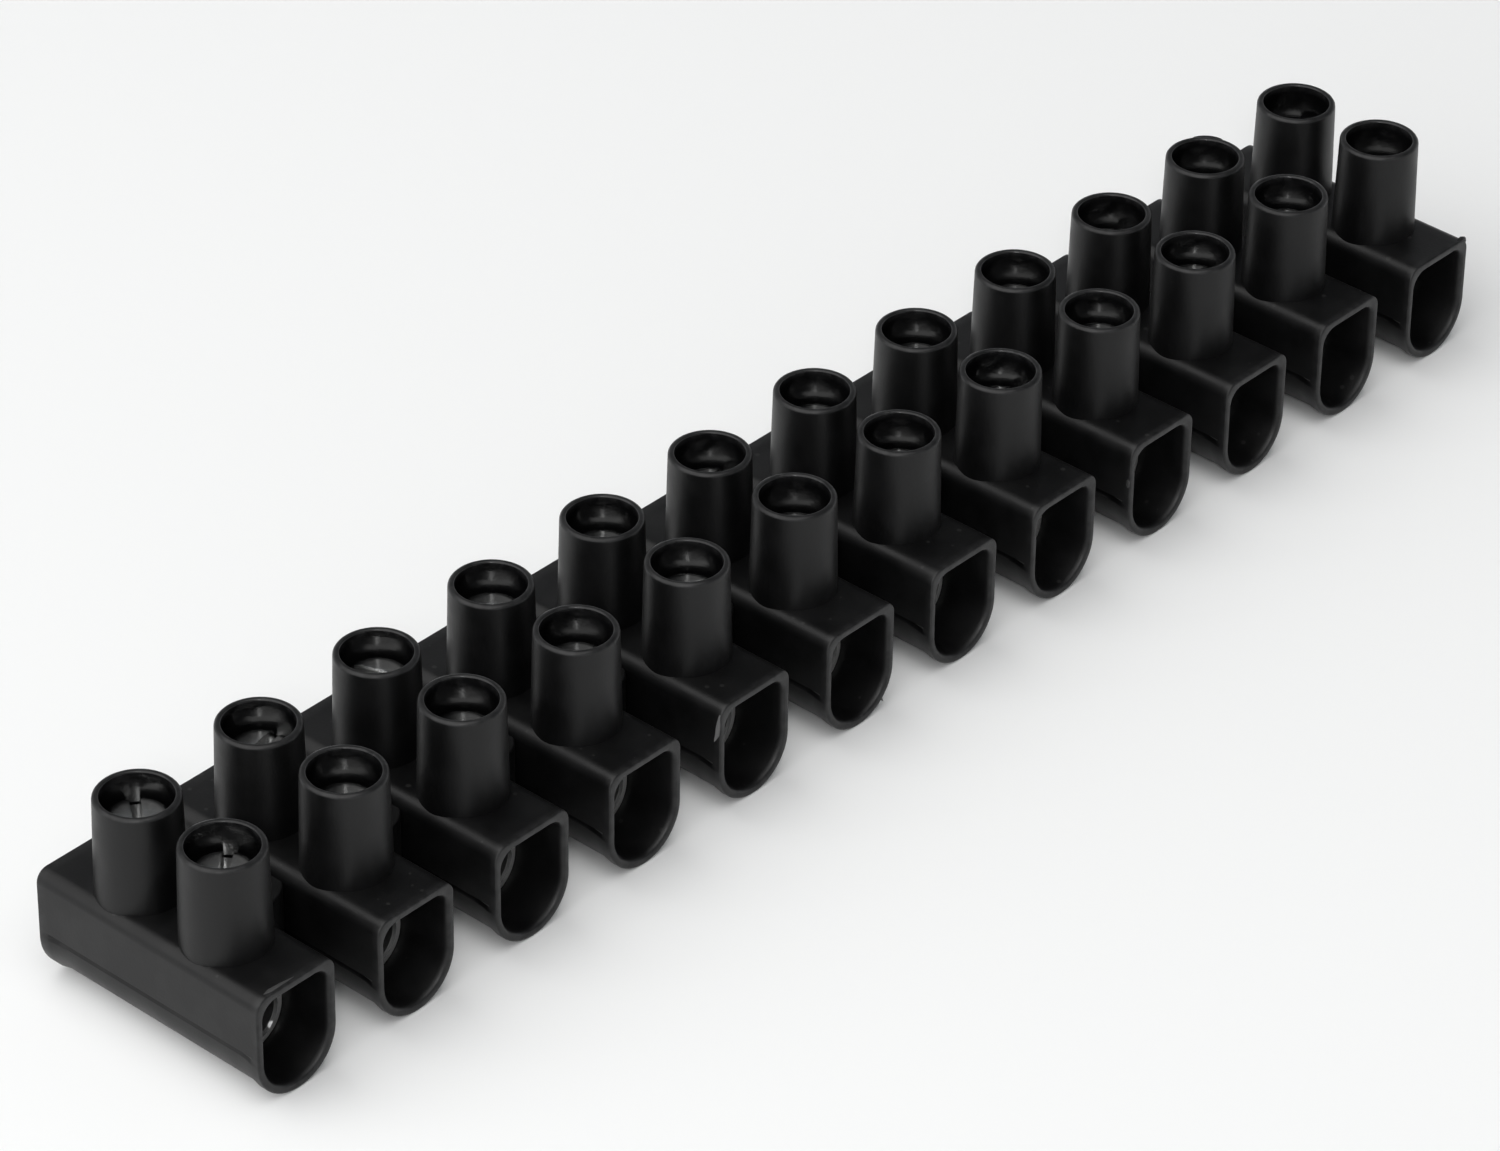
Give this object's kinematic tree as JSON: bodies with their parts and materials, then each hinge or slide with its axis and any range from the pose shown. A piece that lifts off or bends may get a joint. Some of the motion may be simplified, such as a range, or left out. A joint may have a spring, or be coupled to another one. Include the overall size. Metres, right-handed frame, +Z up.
{
  "type": "terminal block",
  "caption": "Black moulded screw terminal strip: a row of open-ended wire tubes with plated clamp inserts, slotted clamp screws down round turrets, and fixing bosses between the poles.",
  "frame": {"origin": "under the middle of the strip, on the surface that it rests on", "axes": "+X along the strip, the wires enter along Y, the front mouths face -Y, +Z up the turrets"},
  "size_m": [0.1164, 0.0188, 0.015],
  "materials": {
    "black_plastic": "satin moulded black",
    "plated_steel": "zinc-plated, turned or drawn"
  },
  "bodies": {
    "strip": {"housing": "black_plastic", "clamp_insert_01": "plated_steel", "clamp_insert_02": "plated_steel", "clamp_insert_03": "plated_steel", "clamp_insert_04": "plated_steel", "clamp_insert_05": "plated_steel", "clamp_insert_06": "plated_steel", "clamp_insert_07": "plated_steel", "clamp_insert_08": "plated_steel", "clamp_insert_09": "plated_steel", "clamp_insert_10": "plated_steel", "clamp_insert_11": "plated_steel", "clamp_insert_12": "plated_steel"},
    "front_screw_01": {"front_screw_01": "plated_steel"},
    "front_screw_02": {"front_screw_02": "plated_steel"},
    "front_screw_03": {"front_screw_03": "plated_steel"},
    "front_screw_04": {"front_screw_04": "plated_steel"},
    "front_screw_05": {"front_screw_05": "plated_steel"},
    "front_screw_06": {"front_screw_06": "plated_steel"},
    "front_screw_07": {"front_screw_07": "plated_steel"},
    "front_screw_08": {"front_screw_08": "plated_steel"},
    "front_screw_09": {"front_screw_09": "plated_steel"},
    "front_screw_10": {"front_screw_10": "plated_steel"},
    "front_screw_11": {"front_screw_11": "plated_steel"},
    "front_screw_12": {"front_screw_12": "plated_steel"},
    "back_screw_01": {"back_screw_01": "plated_steel"},
    "back_screw_02": {"back_screw_02": "plated_steel"},
    "back_screw_03": {"back_screw_03": "plated_steel"},
    "back_screw_04": {"back_screw_04": "plated_steel"},
    "back_screw_05": {"back_screw_05": "plated_steel"},
    "back_screw_06": {"back_screw_06": "plated_steel"},
    "back_screw_07": {"back_screw_07": "plated_steel"},
    "back_screw_08": {"back_screw_08": "plated_steel"},
    "back_screw_09": {"back_screw_09": "plated_steel"},
    "back_screw_10": {"back_screw_10": "plated_steel"},
    "back_screw_11": {"back_screw_11": "plated_steel"},
    "back_screw_12": {"back_screw_12": "plated_steel"}
  },
  "joints": [
    {"name": "front_screw_01_travel", "type": "slide", "parent": "strip", "child": "front_screw_01", "axis": [0, 0, 1], "range_m": [-0.00416, 0.00049]},
    {"name": "front_screw_02_travel", "type": "slide", "parent": "strip", "child": "front_screw_02", "axis": [0, 0, 1], "range_m": [-0.00379, 0.00086]},
    {"name": "front_screw_03_travel", "type": "slide", "parent": "strip", "child": "front_screw_03", "axis": [0, 0, 1], "range_m": [-0.0038, 0.00085]},
    {"name": "front_screw_04_travel", "type": "slide", "parent": "strip", "child": "front_screw_04", "axis": [0, 0, 1], "range_m": [-0.00376, 0.00089]},
    {"name": "front_screw_05_travel", "type": "slide", "parent": "strip", "child": "front_screw_05", "axis": [0, 0, 1], "range_m": [-0.00384, 0.00081]},
    {"name": "front_screw_06_travel", "type": "slide", "parent": "strip", "child": "front_screw_06", "axis": [0, 0, 1], "range_m": [-0.00352, 0.00112]},
    {"name": "front_screw_07_travel", "type": "slide", "parent": "strip", "child": "front_screw_07", "axis": [0, 0, 1], "range_m": [-0.00354, 0.00111]},
    {"name": "front_screw_08_travel", "type": "slide", "parent": "strip", "child": "front_screw_08", "axis": [0, 0, 1], "range_m": [-0.00363, 0.00103]},
    {"name": "front_screw_09_travel", "type": "slide", "parent": "strip", "child": "front_screw_09", "axis": [0, 0, 1], "range_m": [-0.00383, 0.00081]},
    {"name": "front_screw_10_travel", "type": "slide", "parent": "strip", "child": "front_screw_10", "axis": [0, 0, 1], "range_m": [-0.00386, 0.00079]},
    {"name": "front_screw_11_travel", "type": "slide", "parent": "strip", "child": "front_screw_11", "axis": [0, 0, 1], "range_m": [-0.00376, 0.00089]},
    {"name": "front_screw_12_travel", "type": "slide", "parent": "strip", "child": "front_screw_12", "axis": [0, 0, 1], "range_m": [-0.00346, 0.00119]},
    {"name": "back_screw_01_travel", "type": "slide", "parent": "strip", "child": "back_screw_01", "axis": [0, 0, 1], "range_m": [-0.00443, 0.00021]},
    {"name": "back_screw_02_travel", "type": "slide", "parent": "strip", "child": "back_screw_02", "axis": [0, 0, 1], "range_m": [-0.00413, 0.00052]},
    {"name": "back_screw_03_travel", "type": "slide", "parent": "strip", "child": "back_screw_03", "axis": [0, 0, 1], "range_m": [-0.00426, 0.00039]},
    {"name": "back_screw_04_travel", "type": "slide", "parent": "strip", "child": "back_screw_04", "axis": [0, 0, 1], "range_m": [-0.00404, 0.00061]},
    {"name": "back_screw_05_travel", "type": "slide", "parent": "strip", "child": "back_screw_05", "axis": [0, 0, 1], "range_m": [-0.0038, 0.00085]},
    {"name": "back_screw_06_travel", "type": "slide", "parent": "strip", "child": "back_screw_06", "axis": [0, 0, 1], "range_m": [-0.00363, 0.00103]},
    {"name": "back_screw_07_travel", "type": "slide", "parent": "strip", "child": "back_screw_07", "axis": [0, 0, 1], "range_m": [-0.00376, 0.00089]},
    {"name": "back_screw_08_travel", "type": "slide", "parent": "strip", "child": "back_screw_08", "axis": [0, 0, 1], "range_m": [-0.00381, 0.00084]},
    {"name": "back_screw_09_travel", "type": "slide", "parent": "strip", "child": "back_screw_09", "axis": [0, 0, 1], "range_m": [-0.00378, 0.00087]},
    {"name": "back_screw_10_travel", "type": "slide", "parent": "strip", "child": "back_screw_10", "axis": [0, 0, 1], "range_m": [-0.00364, 0.00102]},
    {"name": "back_screw_11_travel", "type": "slide", "parent": "strip", "child": "back_screw_11", "axis": [0, 0, 1], "range_m": [-0.00359, 0.00106]},
    {"name": "back_screw_12_travel", "type": "slide", "parent": "strip", "child": "back_screw_12", "axis": [0, 0, 1], "range_m": [-0.00338, 0.00127]}
  ]
}
